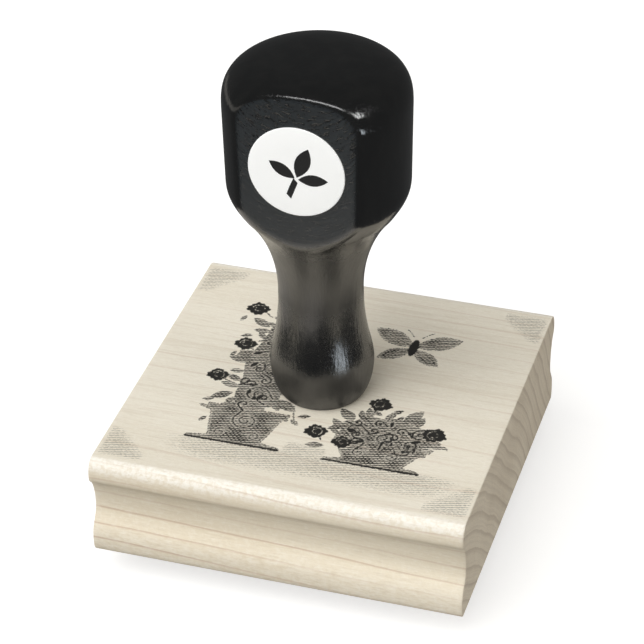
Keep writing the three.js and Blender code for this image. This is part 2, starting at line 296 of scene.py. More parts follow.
def picture(points):
    """For points in plan: distances to the solid ink and to the screened masses, and the masses' tone."""
    solid = np.full(len(points), FAR)
    masses = np.full(len(points), FAR)
    tone = np.full(len(points), MASS_TONE)
    for outline in MASSES:
        pick = near(points, outline)
        masses[pick] = np.minimum(masses[pick], outline_distance(points[pick], outline))
    for leaf in LEAVES + WINGS + SMALL_LEAVES + FRINGE:
        outline = leaf_outline(*leaf)
        pick = near(points, outline)
        distance = outline_distance(points[pick], outline)
        tone[pick] = np.where(distance < 0.1, LEAF_TONE, tone[pick])
        masses[pick] = np.minimum(masses[pick], distance)
    for (x, y, radius), turn in zip(BLOOMS, BLOOM_TURNS):
        bloom = bloom_outline(x, y, radius, turn)
        pick = near(points, bloom)
        distance = outline_distance(points[pick], bloom)
        # Two thin arcs without ink part the petals.
        for share, first in ((0.62, 0.4), (0.34, 2.9)):
            angle = np.linspace(first, first + 3.4, 12) + turn
            arc = np.stack([x + radius * share * np.cos(angle), y + radius * share * np.sin(angle)], 1)
            distance = np.maximum(distance, 0.04 - segment_distance(points[pick], arc))
        solid[pick] = np.minimum(solid[pick], distance)
    for outline in [BODY] + [leaf_outline(*leaf) for leaf in TUFTS]:
        pick = near(points, outline)
        solid[pick] = np.minimum(solid[pick], outline_distance(points[pick], outline))
    for path, width in SCROLLS + STEMS + FEELERS + GROUND_LINES + CURLS + EDGES + VEINS:
        pick = near(points, path)
        solid[pick] = np.minimum(solid[pick], segment_distance(points[pick], path) - width / 2)
    return solid, masses, tone


# ---- Meshes ----

def new_piece(name, points, faces, body, material, smooth=True):
    """A mesh from points in millimetres, riding on a body of the part."""
    mesh = bpy.data.meshes.new(name)
    mesh.from_pydata((np.asarray(points) * MM).tolist(), [], [list(map(int, f)) for f in faces])
    mesh.validate()
    work = bmesh.new()
    work.from_mesh(mesh)
    bmesh.ops.recalc_face_normals(work, faces=work.faces)
    work.to_mesh(mesh)
    work.free()
    if smooth:
        mesh.shade_smooth()
    piece = bpy.data.objects.new(name, mesh)
    bpy.context.scene.collection.objects.link(piece)
    mesh.materials.append(material)
    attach(piece, body)
    return piece


def add_values(mesh, name, values):
    """A float attribute on the points of a mesh."""
    mesh.attributes.new(name, "FLOAT", "POINT").data.foreach_set("value", np.asarray(values, np.float32))


def grid_faces(rows, columns, wrap=False):
    """Quads between rows of points; with `wrap` each row is a closed ring."""
    last = columns if wrap else columns - 1
    row, column = np.meshgrid(np.arange(rows - 1), np.arange(last), indexing="ij")
    right = (column + 1) % columns
    a, b = row * columns + column, row * columns + right
    return np.stack([a, b, b + columns, a + columns], -1).reshape(-1, 4)


def ring_piece(rings):
    """Points and faces of a closed skin through rings of equal length, with a centre point in each end."""
    count = len(rings[0])
    points = np.vstack(rings)
    faces = grid_faces(len(rings), count, wrap=True).tolist()
    for ring in (0, len(rings) - 1):
        centre = len(points)
        points = np.vstack([points, rings[ring].mean(0)])
        first = ring * count
        faces += [[first + i, first + (i + 1) % count, centre] for i in range(count)]
    return points, faces


# ---- Materials ----

class Shader:
    """One material. Each method adds a node and returns its output; `at` is the place in millimetres."""

    def __init__(self, name):
        self.material = bpy.data.materials.new(name)
        self.material.use_nodes = True
        self.tree = self.material.node_tree
        self.surface = self.tree.nodes["Principled BSDF"]
        place = self.node("ShaderNodeTexCoord").outputs["Object"]
        self.at = self.scaled(place, (1 / MM,) * 3)

    def put(self, socket, value):
        if isinstance(value, bpy.types.NodeSocket):
            self.tree.links.new(value, socket)
        else:
            socket.default_value = value

    def node(self, kind, inputs=None, **settings):
        made = self.tree.nodes.new(kind)
        for key, value in settings.items():
            setattr(made, key, value)
        for key, value in (inputs or {}).items():
            self.put(made.inputs[key], value)
        return made

    def scaled(self, vector, scale):
        made = self.node("ShaderNodeVectorMath", {0: vector, 1: scale}, operation="MULTIPLY")
        return made.outputs[0]

    def split(self, vector):
        return self.node("ShaderNodeSeparateXYZ", {0: vector}).outputs

    def join(self, x, y, z):
        return self.node("ShaderNodeCombineXYZ", {0: x, 1: y, 2: z}).outputs[0]

    def math(self, operation, a, b=0.0, c=0.0):
        return self.node("ShaderNodeMath", {0: a, 1: b, 2: c}, operation=operation).outputs[0]

    def multiply(self, a, b):
        return self.math("MULTIPLY", a, b)

    def multiply_add(self, a, b, c):
        return self.math("MULTIPLY_ADD", a, b, c)

    def noise(self, vector, scale, detail=2.0, roughness=0.5, distortion=0.0):
        """Noise from 0 to 1; `scale` may be one number or a scale for each axis."""
        if isinstance(scale, tuple):
            vector, scale = self.scaled(vector, scale), 1.0
        inputs = {"Vector": vector, "Scale": scale, "Detail": detail, "Roughness": roughness,
                  "Distortion": distortion}
        return self.node("ShaderNodeTexNoise", inputs).outputs["Fac"]

    def step(self, value, low, high, to_low=0.0, to_high=1.0):
        """A smooth change from `to_low` to `to_high` as the value goes from `low` to `high`."""
        inputs = {"Value": value, "From Min": low, "From Max": high, "To Min": to_low, "To Max": to_high}
        return self.node("ShaderNodeMapRange", inputs, interpolation_type="SMOOTHSTEP").outputs[0]

    def choose(self, share, at_zero, at_one):
        """A straight blend of two values."""
        inputs = {"Value": share, "To Min": at_zero, "To Max": at_one}
        return self.node("ShaderNodeMapRange", inputs).outputs[0]

    def mix(self, factor, a, b):
        """A blend of two colours."""
        made = self.node("ShaderNodeMix", data_type="RGBA")
        for key, value in (("Factor_Float", factor), ("A_Color", a), ("B_Color", b)):
            socket = next(s for s in made.inputs if s.identifier == key)
            self.put(socket, value + (1.0,) if isinstance(value, tuple) else value)
        return next(s for s in made.outputs if s.identifier == "Result_Color")

    def attribute(self, name):
        return self.node("ShaderNodeAttribute", attribute_name=name).outputs["Fac"]

    def bump(self, height, distance, strength):
        """Bump of a height given in millimetres."""
        inputs = {"Height": height, "Distance": distance * MM, "Strength": strength}
        return self.node("ShaderNodeBump", inputs).outputs[0]

    def finish(self, **inputs):
        """Sets the surface's own inputs, named with underscores for spaces, and returns the material."""
        for key, value in inputs.items():
            name = key.replace("_", " ")
            self.put(self.surface.inputs[name], value + (1.0,) if isinstance(value, tuple) else value)
        return self.material


def maple_rings(s):
    """The growth rings, bowed and a little wavy: how far through its ring a place lies, the ring's
    number, and the distance from the pith."""
    x, y, z = s.split(s.at)
    wander = s.noise(s.at, (0.009, 0.03, 0.03), 2.0)
    fine = s.noise(s.at, (0.04, 0.25, 0.25), 2.0)
    from_pith_y = s.math("SUBTRACT", y, PITH_Y)
    from_pith_z = s.math("SUBTRACT", z, PITH_Z)
    squares = s.math("ADD", s.multiply(from_pith_y, from_pith_y), s.multiply(from_pith_z, from_pith_z))
    radius = s.math("SQRT", squares)
    bent = s.multiply_add(wander, 7.0, radius)
    bent = s.multiply_add(fine, 0.7, bent)
    bent = s.multiply_add(x, 0.012, bent)
    rings = s.math("DIVIDE", bent, RING_WIDTH)
    return s.math("FRACT", rings), s.math("FLOOR", rings), bent


def maple():
    """Long grain of hard maple with the picture printed on its top, and a painted mottled highlight along
    the bead.
    """
    s = Shader("maple_long_grain")
    x, y, z = s.split(s.at)
    ring, number, _ = maple_rings(s)
    late = s.multiply(s.step(ring, 0.84, 0.965), s.step(ring, 1.0, 0.98))
    strength = s.step(s.noise(s.join(number, s.multiply(x, 0.015), 0.0), 0.9), 0.35, 0.7, 0.2, 1.0)
    line = s.multiply(late, strength)
    broad = s.noise(s.at, (0.016, 0.07, 0.07), 3.0)
    streak = s.noise(s.at, (0.035, 0.95, 0.95), 2.0, 0.6)
    fleck = s.noise(s.at, (0.3, 2.5, 2.5), 3.0, 0.6)
    hair = s.noise(s.at, (0.5, 6.5, 6.5), 2.0, 0.6)
    figure = s.noise(s.at, 1.15, 2.0, 0.6, 0.3)
    mottle = s.noise(s.at, (0.55, 1.6, 1.6), 3.0, 0.65, 0.3)
    top = s.step(z, BLOCK_HIGH[2] - 1.2, BLOCK_HIGH[2] - 0.1)
    outward = s.math("ABSOLUTE", y)
    side = BLOCK_HIGH[1]
    # The bead's band, where a painted highlight goes into the colour.
    bead = s.multiply(s.step(z, BLOCK_HIGH[2] - 3.4, BLOCK_HIGH[2] - 1.0),
                      s.step(outward, side - 2.8, side - 1.8))
    lip = s.multiply(s.step(z, BLOCK_LOW[2] + 8.0, BLOCK_LOW[2] + 5.0),
                     s.step(outward, side - 3.1, side - 1.5))
    colour = s.mix(s.step(broad, 0.3, 0.7), (0.685, 0.605, 0.47), (0.745, 0.675, 0.545))
    colour = s.mix(top, colour, s.mix(s.step(broad, 0.3, 0.7), (0.735, 0.685, 0.58), (0.775, 0.73, 0.63)))
    colour = s.mix(s.step(figure, 0.45, 0.7, 0.0, 0.2), colour, (0.86, 0.83, 0.76))
    # Painted highlight: the bead's band is lightened to near white in mottled patches, standing in for
    # light catching it.
    colour = s.mix(s.multiply(bead, s.step(figure, 0.32, 0.62, 0.30, 0.85)), colour, (0.88, 0.855, 0.80))
    colour = s.mix(s.multiply(lip, s.step(mottle, 0.40, 0.66, 0.0, 0.34)), colour, (0.86, 0.82, 0.74))
    colour = s.mix(s.multiply(lip, s.step(mottle, 0.46, 0.30, 0.0, 0.26)), colour, (0.58, 0.49, 0.37))
    colour = s.mix(s.multiply(line, s.step(top, 0.0, 1.0, 0.66, 0.27)), colour, (0.49, 0.33, 0.235))
    streaked = s.multiply(s.step(streak, 0.5, 0.68), s.step(top, 0.0, 1.0, 0.10, 0.22))
    colour = s.mix(streaked, colour, (0.55, 0.47, 0.36))
    colour = s.mix(s.step(fleck, 0.54, 0.72, 0.0, 0.26), colour, (0.53, 0.45, 0.35))
    colour = s.mix(s.step(fleck, 0.46, 0.3, 0.0, 0.3), colour, (0.84, 0.80, 0.72))
    colour = s.mix(s.step(hair, 0.56, 0.74, 0.0, 0.18), colour, (0.47, 0.39, 0.30))
    colour = s.mix(printed(s), colour, (0.008, 0.008, 0.008))
    roughness = s.multiply_add(fleck, 0.16, 0.47)
    grain = s.multiply_add(hair, 0.6, s.multiply(fleck, 0.6))
    grain = s.multiply_add(figure, 1.3, grain)
    height = s.multiply_add(line, -0.25, grain)
    return s.finish(Base_Color=colour, Roughness=roughness, Normal=s.bump(height, 0.06, 0.75), IOR=1.45)


def printed(s):
    """Ink cover from 0 to 1: solid strokes, screened masses, ground tint and corner stipple."""
    x, y, _ = s.split(s.at)
    wobble = s.math("SUBTRACT", s.noise(s.at, 1.1, 3.0), 0.5)
    ragged = s.math("SUBTRACT", s.noise(s.at, 2.6, 3.0, 0.6), 0.5)
    solid = s.step(s.multiply_add(ragged, 0.75, s.attribute("ink_solid")), 0.10, -0.10)
    turn_cos, turn_sin = math.cos(SCREEN_TURN), math.sin(SCREEN_TURN)
    along = s.multiply_add(x, turn_cos, s.multiply(y, turn_sin))
    across = s.multiply_add(y, turn_cos, s.multiply(x, -turn_sin))
    across = s.math("DIVIDE", s.multiply_add(wobble, 0.22, across), SCREEN_PITCH)
    rows = s.math("COSINE", s.multiply(across, 2 * math.pi))
    shift = s.multiply(s.math("FLOOR", s.math("ADD", across, 0.5)), ROW_SHIFT)
    dots = s.math("COSINE", s.multiply(s.multiply_add(along, 1 / DOT_PITCH, shift), 2 * math.pi))
    broken = s.math("SUBTRACT", s.noise(s.join(along, s.multiply(across, 1.7), 0.0), 1.9, 2.0, 0.7), 0.5)
    screen = s.multiply_add(rows, 0.42, s.multiply_add(dots, 0.10, 0.5))
    screen = s.multiply_add(broken, 0.62, screen)
    inside = s.step(s.multiply_add(ragged, 0.5, s.attribute("ink_mass")), 0.10, -0.12)
    shade = s.multiply_add(s.noise(s.at, 0.3, 3.0), 0.7, s.math("SUBTRACT", s.attribute("ink_tone"), 0.20))
    masses = s.multiply(inside, s.step(s.math("SUBTRACT", shade, screen), -0.10, 0.07))
    masses = s.multiply(masses, s.step(s.attribute("ink_solid"), 0.2, 0.42, 0.72, 1.0))
    tint = s.attribute("ink_ground")
    stipple = s.step(s.math("SUBTRACT", tint, s.multiply_add(broken, 1.3, screen)), -0.14, 0.12, 0.0, 0.58)
    ground = s.multiply(stipple, s.step(tint, 0.02, 0.2))
    strokes = s.math("MAXIMUM", s.multiply(solid, 0.98), s.multiply(masses, 0.97))
    return s.math("MAXIMUM", strokes, ground)


def end_grain():
    """Saw-cut end of the block, with the rings as bowed lines, fine pores and saw marks."""
    s = Shader("maple_end_grain")
    _, _, z = s.split(s.at)
    ring, _, radius = maple_rings(s)
    late = s.multiply(s.step(ring, 0.60, 0.93), s.step(ring, 1.0, 0.95))
    bands = s.noise(s.join(s.multiply(radius, 1.5), s.multiply(z, 0.05), 0.0), 1.0, 3.0, 0.6)
    pores = s.noise(s.at, 5.5, 2.0, 0.6)
    rays = s.noise(s.at, (1.0, 1.4, 0.5), 3.0, 0.6, 0.3)
    broad = s.noise(s.at, 0.07, 2.0)
    marks = s.noise(s.at, (1.0, 3.4, 0.12), 2.0)
    colour = s.mix(s.step(broad, 0.3, 0.7), (0.73, 0.655, 0.54), (0.80, 0.73, 0.61))
    colour = s.mix(s.step(bands, 0.4, 0.66, 0.0, 0.24), colour, (0.44, 0.37, 0.30))
    colour = s.mix(s.multiply(late, 0.36), colour, (0.36, 0.28, 0.22))
    colour = s.mix(s.step(rays, 0.45, 0.7, 0.0, 0.3), colour, (0.68, 0.63, 0.56))
    colour = s.mix(s.step(pores, 0.52, 0.7, 0.0, 0.3), colour, (0.38, 0.32, 0.26))
    colour = s.mix(s.step(marks, 0.5, 0.75, 0.0, 0.15), colour, (0.45, 0.39, 0.33))
    height = s.multiply_add(pores, 0.7, s.multiply(marks, 0.6))
    return s.finish(Base_Color=colour, Roughness=s.multiply_add(pores, 0.2, 0.6),
                    Normal=s.bump(height, 0.06, 0.8), IOR=1.45)


def lacquer():
    """Black gloss lacquer over turned hardwood; the sanded flat is duller and shows its grain, and its
    slate colour holds a painted bluish reflection.
    """
    s = Shader("black_lacquer")
    x, _, z = s.split(s.at)
    flat = s.attribute("on_flat")
    ripple = s.noise(s.at, (0.35, 0.35, 0.12), 3.0, 0.55)
    grain = s.noise(s.at, (1.6, 1.6, 0.18), 3.0, 0.6)
    pits = s.noise(s.at, (4.5, 4.5, 0.9), 2.0, 0.6)
    aside = s.math("SUBTRACT", x, HANDLE_X)
    bow = s.multiply_add(s.multiply(aside, aside), -0.035, z)
    wave = s.multiply_add(s.noise(s.at, (0.3, 0.3, 0.5), 2.0), 1.6, bow)
    bands = s.noise(s.join(s.multiply(x, 0.22), 0.0, s.multiply(wave, 1.9)), 1.0, 3.0, 0.6)
    streaks = s.noise(s.join(s.multiply(x, 0.55), 0.0, s.multiply(wave, 1.9)), 1.0, 3.0, 0.6)
    body = s.mix(s.step(ripple, 0.35, 0.7), (0.0016, 0.0018, 0.0017), (0.0036, 0.0037, 0.0034))
    # The flat's slate colour: partly the greyer look of sanded satin paint, partly a painted bluish
    # reflection of the light in front.
    face = s.mix(s.step(bands, 0.35, 0.7), (0.0110, 0.0150, 0.0178), (0.0172, 0.0228, 0.0272))
    upper = s.step(z, LABEL_LOW[2] + 1.0, LABEL_HIGH[2] + 1.0, 0.25, 0.95)
    cuts = s.multiply(s.step(streaks, 0.525, 0.565), upper)
    face = s.mix(cuts, face, (0.002, 0.0022, 0.0025))
    colour = s.mix(flat, body, face)
    above = s.math("SUBTRACT", z, HANDLE_LOW[2])
    below_knob = s.step(above, 44, 36, 0.0, 0.06)
    neck = s.multiply(s.step(above, 42, 36), s.step(above, 19, 25, 0.0, 0.12))
    foot = s.step(above, 12, 6, 0.0, 0.30)
    duller = s.math("ADD", s.math("ADD", below_knob, neck), foot)
    gloss = s.math("ADD", s.step(ripple, 0.3, 0.75, 0.10, 0.17), duller)
    satin = s.multiply_add(cuts, -0.24, 0.38)
    turned = s.multiply(grain, s.step(above, 44, 34, 1.0, 1.9))
    sides = s.multiply_add(s.step(pits, 0.58, 0.72), -0.2, turned)
    sawn = s.multiply_add(s.step(streaks, 0.56, 0.68), -1.0, s.multiply(bands, 0.7))
    height = s.choose(flat, sides, sawn)
    return s.finish(Base_Color=colour, Roughness=s.choose(flat, gloss, satin),
                    Normal=s.bump(height, 0.06, 0.7), IOR=2.1)


def speckled(name, light, dark, scale, roughness, bump, metallic=0.0, glow=0.0):
    """A moulded, foamed or coated surface: fine speckle in two tones over a slow drift, with its bump.
    `glow` is painted light: the surface gives off a little light of its own, to brighten the label's white."""
    s = Shader(name)
    drift = s.noise(s.at, scale * 0.05, 2.0)
    fine = s.noise(s.at, scale, 3.0, 0.6)
    colour = s.mix(s.step(fine, 0.35, 0.68), dark, light)
    colour = s.mix(s.step(drift, 0.35, 0.7, 0.0, 0.35), colour, dark)
    return s.finish(Base_Color=colour, Roughness=s.multiply_add(fine, 0.15, roughness),
                    Normal=s.bump(fine, bump, 0.8), IOR=1.5, Metallic=metallic,
                    Emission_Color=(0.95, 1.0, 1.0), Emission_Strength=glow)


# ---- Mount block ----

# Mesh steps on the block: fine where the picture's ink needs it, coarse elsewhere.
FINE_STEP = 0.26
COARSE_STEP = 1.0


def stations(edges, steps):
    """Positions from edge to edge, with its own step in each stretch."""
    out = [edges[0]]
    for low, high, step in zip(edges, edges[1:], steps):
        out += list(np.linspace(low, high, max(1, round((high - low) / step)) + 1)[1:])
    return np.array(out)


def block_loop():
    """The block's section as a closed loop of (y, z) points."""
    bead, quirk, cove = (BEAD_OUT, BEAD_DROP), (QUIRK_OUT, QUIRK_DROP), (0, COVE_DROP)
    lip, bottom = (LIP_OUT, LIP_DROP), (BOTTOM_OUT, BLOCK_HEIGHT)
    side = np.vstack([
        bezier([(0, 0), (1.7, 0), (BEAD_OUT, 1.3), bead], 9),
        bezier([bead, (BEAD_OUT, 4.8), quirk], 5),
        bezier([quirk, (1.0, 5.9), (0, 8.4), cove], 9),
        bezier([cove, (0, 15), (LIP_OUT, 15.4), lip], 10),
        bezier([lip, (LIP_OUT, 20.9), (2.4, 22.0), bottom], 8),
    ])
    top, half = BLOCK_HIGH[2], BLOCK_HIGH[1] - BEAD_OUT
    flat = stations([-half, *PICTURE_Y, half], [COARSE_STEP, FINE_STEP, COARSE_STEP])
    back = np.stack([half + side[:, 0], top - side[:, 1]], 1)
    foot = half + side[-1, 0]
    under = np.linspace(foot, -foot, 28)[1:-1]
    front = np.stack([-half - side[::-1, 0], top - side[::-1, 1]], 1)
    return np.vstack([
        np.stack([flat, np.full(len(flat), top)], 1), back,
        np.stack([under, np.full(len(under), BLOCK_LOW[2])], 1), front,
    ])


def block_skin():
    """Points and faces of the block, its section drawn along the grain and eased at both sawn ends."""
    loop = block_loop()
    count = len(loop)
    tangent = np.roll(loop, -1, 0) - np.roll(loop, 1, 0)
    inward = np.stack([tangent[:, 1], -tangent[:, 0]], 1) / np.linalg.norm(tangent, axis=1)[:, None]
    low, high = BLOCK_LOW[0], BLOCK_HIGH[0]
    ease = 0.28
    xs = stations([low + ease, *PICTURE_X, high - ease], [COARSE_STEP, FINE_STEP, COARSE_STEP])
    ends = [(0.0, ease), (0.08, 0.08)]
    plan = [(low + a, b) for a, b in ends]
    plan += [(x, 0.0) for x in xs]
    plan += [(high - a, b) for a, b in reversed(ends)]
    rings = [np.column_stack([np.full(count, x), loop + inward * inset]) for x, inset in plan]
    points = np.vstack(rings)
    faces = grid_faces(len(rings), count, wrap=True).tolist()
    faces.append(list(range(count)))
    faces.append(list(range(len(points) - count, len(points))))
    return points, faces


def print_picture(mesh):
    """The picture's distances as values on the mesh, for the ink in the maple material."""
    co = np.zeros(len(mesh.vertices) * 3)
    mesh.vertices.foreach_get("co", co)
    co = co.reshape(-1, 3) / MM
    on_top = co[:, 2] > BLOCK_HIGH[2] - 0.01
    layers = [np.full(len(co), off_top) for off_top in (FAR, FAR, MASS_TONE, 0.0)]
    drawn = [*picture(co[on_top, :2]), ground_tint(co[on_top, :2])]
    for name, layer, values in zip(("ink_solid", "ink_mass", "ink_tone", "ink_ground"), layers, drawn):
        layer[on_top] = values
        add_values(mesh, name, layer)


def mount_block():
    points, faces = block_skin()
    mesh = bpy.data.meshes.new("block_maple")
    mesh.from_pydata((points * MM).tolist(), [], faces)
    drill(mesh)
    mesh.materials.append(maple())
    mesh.materials.append(end_grain())
    normals = np.zeros(len(mesh.polygons) * 3)
    mesh.polygons.foreach_get("normal", normals)
    is_end = np.abs(normals.reshape(-1, 3)[:, 0]) > 0.9
    mesh.polygons.foreach_set("material_index", is_end.astype(np.int32))
    mesh.shade_smooth()
    mesh.polygons.foreach_set("use_smooth", ~is_end)
    piece = bpy.data.objects.new("block_maple", mesh)
    bpy.context.scene.collection.objects.link(piece)
    print_picture(mesh)
    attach(piece, "stamp")
    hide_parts("mount_block")


# The tone of the light tint, and where its corner patches start and how far they spread.
GROUND_TONE = 0.36
STIPPLE_X, STIPPLE_Y = 28.5, 25.5
STIPPLE_SPAN = 8.5


def ground_tint(points):
    """The light screened tint: the ground in front of the pots, and the four corners."""
    x, y = points[:, 0], points[:, 1]
    depth = smoothstep(y, -33.5, -26.5) * smoothstep(y, -23.0, -25.0)
    width = smoothstep(x, -31, -14) * smoothstep(x, 38, 24)
    ground = GROUND_TONE * depth * width
    between = 0.3 * smoothstep(y, -27, -24) * smoothstep(y, -19.5, -22.5)
    between = between * smoothstep(x, -3.6, -1.5) * smoothstep(x, 6.6, 4.8)
    past_x, past_y = np.abs(x) - STIPPLE_X, np.abs(y) - STIPPLE_Y
    reach = (np.maximum(past_x, 0) + np.maximum(past_y, 0)) / STIPPLE_SPAN
    reach = np.where((past_x > 0) & (past_y > 0), reach, 0)
    edge = smoothstep(np.abs(x), 37.4, 36.6) * smoothstep(np.abs(y), 35.0, 34.0)
    corners = GROUND_TONE * smoothstep(reach, 0.55, 1.25) * edge
    return np.maximum(np.maximum(ground, between), corners)


def drill(mesh):
    """Opens the screw hole through the block: clears a square patch of faces at both mouths, joins
    what is left to a round rim, and lines the hole between the rims."""
    work = bmesh.new()
    work.from_mesh(mesh)
    bmesh.ops.recalc_face_normals(work, faces=work.faces)
    axis = Vector((HANDLE_X, HANDLE_Y)) * MM
    low, high = BLOCK_LOW[2], BLOCK_HIGH[2]
    rings = []
    for level, radius, patch, up in ((high, BORE_RADIUS, 4.0, 1), (low, SINK_RADIUS, 6.6, -1)):
        gone = [f for f in work.faces if f.normal.z * up > 0.99
                and max(abs(c) for c in (f.calc_center_median().xy - axis)) < patch * MM
                and abs(f.calc_center_median().z - level * MM) < 1e-5]
        bmesh.ops.delete(work, geom=gone, context="FACES")
        rim = [e for e in work.edges if e.is_boundary and abs(e.verts[0].co.z - level * MM) < 1e-6]
        ring = hole_ring(work, axis, radius, level)
        edges = [work.edges.new((a, b)) for a, b in zip(ring, ring[1:] + ring[:1])]
        bmesh.ops.triangle_fill(work, edges=rim + edges, use_beauty=True, normal=(0, 0, up))
        rings.append(ring)
    cone_start = hole_ring(work, axis, SINK_RADIUS, low + CONE_LOW)
    cone_end = hole_ring(work, axis, BORE_RADIUS, low + CONE_HIGH)
    order = [rings[1], cone_start, cone_end, rings[0]]
    for first, second in zip(order, order[1:]):
        for i in range(len(first)):
            j = (i + 1) % len(first)
            work.faces.new((first[i], first[j], second[j], second[i]))
    bmesh.ops.recalc_face_normals(work, faces=work.faces)
    work.to_mesh(mesh)
    work.free()


def hole_ring(work, axis, radius, level, count=32):
    out = []
    for i in range(count):
        angle = 2 * math.pi * i / count
        x, y = axis.x + radius * MM * math.cos(angle), axis.y + radius * MM * math.sin(angle)
        out.append(work.verts.new((x, y, level * MM)))
    return out


# ---- Handle ----

def handle_profile():
    """The turned outline as (radius, height): down from the bore's inner end, round the foot, then up
    and over the dome to just below the top."""
    foot, bulb, waist = (FOOT_RADIUS, 0.02), (BULB_RADIUS, BULB_HEIGHT), (WAIST_RADIUS, WAIST_HEIGHT)
    flare, shoulder = (FLARE_RADIUS, FLARE_HEIGHT), (SHOULDER_RADIUS, SHOULDER_HEIGHT)
    bore = [(BORE_RADIUS, BORE_DEPTH), (BORE_RADIUS, 9.0), (BORE_RADIUS, 0.0), (5.4, 0.0), (8.3, 0.0), foot]
    angle = np.linspace(0, math.pi / 2, 46)[1:-1]
    dome = np.stack([KNOB_RADIUS * np.cos(angle) ** DOME_POWER,
                     DOME_BASE + (HANDLE_HEIGHT - DOME_BASE) * np.sin(angle) ** DOME_POWER], 1)
    return np.vstack([
        bore,
        bezier([foot, (9.5, 1.2), (BULB_RADIUS, 4.0), bulb], 16),
        bezier([bulb, (BULB_RADIUS, 11.2), (WAIST_RADIUS, 13.9), waist], 30),
        bezier([waist, (WAIST_RADIUS, 30.3), (10.2, 37.5), flare], 64),
        bezier([flare, (17.6, 47), (SHOULDER_RADIUS, 48.2), shoulder], 22),
        bezier([shoulder, (KNOB_RADIUS, DOME_BASE)], 26),
        dome,
    ])


def cut_radius(full, lean, angle, rounding=1.0):
    """Radius of the knob at an angle from its front, cut by the flat, with a rounded edge between them.
    `lean` says how steep the outline is there, up to 1 where it runs straight up."""
    low, high = np.zeros_like(angle), np.full_like(angle, full)
    for _ in range(36):
        middle = (low + high) / 2
        to_side = (full - middle) * lean
        to_flat = FLAT_DISTANCE - middle * np.cos(angle)
        blend = np.maximum(rounding - np.abs(to_side - to_flat), 0) ** 2 / (4 * rounding)
        inside = np.minimum(to_side, to_flat) - blend > 0
        low, high = np.where(inside, middle, low), np.where(inside, high, middle)
    return (low + high) / 2


def handle():
    profile = handle_profile()
    slope = np.gradient(profile, axis=0)
    lean = np.abs(slope[:, 1]) / np.maximum(np.linalg.norm(slope, axis=1), 1e-9)
    front, front_columns, back_columns = math.radians(52), 132, 104
    angle = np.concatenate([np.linspace(-front, front, front_columns, endpoint=False),
                            np.linspace(front, 2 * math.pi - front, back_columns, endpoint=False)])
    rings, on_flat = [], []
    for (radius, height), steep in zip(profile, lean):
        r = np.full_like(angle, radius)
        if height > FLAT_START:
            r = np.minimum(r, cut_radius(radius, max(steep, 0.05), angle))
        x, y = r * np.sin(angle), -r * np.cos(angle)
        rings.append(np.column_stack([x + HANDLE_X, y + HANDLE_Y, np.full_like(x, height + HANDLE_LOW[2])]))
        mask = 1 - smoothstep(FLAT_DISTANCE + y, 0.02, 0.22)
        on_flat.append(mask * (height > FLAT_START))
    points, faces = ring_piece(rings)
    points[-1] = (HANDLE_X, HANDLE_Y, HANDLE_HIGH[2])
    points[-2] = (HANDLE_X, HANDLE_Y, HANDLE_LOW[2] + BORE_DEPTH)
    piece = new_piece("handle_turned", points, faces, "stamp", lacquer())
    add_values(piece.data, "on_flat", np.concatenate([np.concatenate(on_flat), [0, 0]]))
    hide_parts("handle")


# ---- Label ----

# The disc's section from its back to its face: share of the radius, and share of the thickness.
LABEL_SECTION = [(0.5, 0.0), (0.995, 0.0), (1.0, 0.1), (1.0, 0.6), (0.992, 0.92), (0.98, 1.0), (0.5, 1.0)]


def label():
    label_face()
    label_sprig()


def label_face():
    """The white vinyl disc, with a softly rounded edge."""
    centre = (LABEL_LOW + LABEL_HIGH) / 2
    radius = (LABEL_HIGH[0] - LABEL_LOW[0]) / 2
    thickness = LABEL_HIGH[1] - LABEL_LOW[1]
    angle = np.linspace(0, 2 * math.pi, 160, endpoint=False)
    rings = []
    for share, depth in LABEL_SECTION:
        x, z = centre[0] + radius * share * np.cos(angle), centre[2] + radius * share * np.sin(angle)
        rings.append(np.column_stack([x, np.full_like(angle, LABEL_HIGH[1] - depth * thickness), z]))
    points, faces = ring_piece(rings)
    # The label's glow is painted light that brightens its white.
    white = speckled("label_vinyl", (0.97, 0.98, 0.985), (0.92, 0.93, 0.935), 3.0, 0.32, 0.01, glow=0.09)
    disc = new_piece("label_face", points, faces, "stamp", white)
    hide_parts("label_disc")


def label_sprig():
    """A three-leaf sprig in raised black ink, as outlines drawn through the face of the disc."""
    centre = (LABEL_LOW + LABEL_HIGH) / 2
    black = speckled("label_ink", (0.022, 0.023, 0.024), (0.014, 0.014, 0.015), 4.0, 0.4, 0.01)
    leaves = [
        leaf_outline(0.1, -1.1, 6.9, 70, 0.44),
        leaf_outline(0.35, -1.5, 5.9, 4, 0.42),
        leaf_outline(-0.3, -1.3, 5.9, 148, 0.42),
    ]
    left_side = bezier([(-2.2, -5.6), (-1.6, -3.6), (-0.55, -1.3)], 6)
    right_side = bezier([(0.55, -1.5), (-0.3, -3.8), (-1.1, -5.9)], 6)
    stem = np.vstack([left_side, right_side])
    points, faces = [], []
    for outline in leaves + [stem]:
        first, n = len(points), len(outline)
        for y in (LABEL_LOW[1] + INK_SUNK, LABEL_LOW[1] - INK_RAISED):
            points += [(centre[0] + a, y, centre[2] + b) for a, b in outline]
        faces.append([first + i for i in range(n)])
        faces.append([first + n + i for i in range(n)])
        for i in range(n):
            j = (i + 1) % n
            faces.append([first + i, first + j, first + n + j, first + n + i])
    new_piece("label_sprig", points, faces, "stamp", black, smooth=False)


# ---- Cushion and die ----

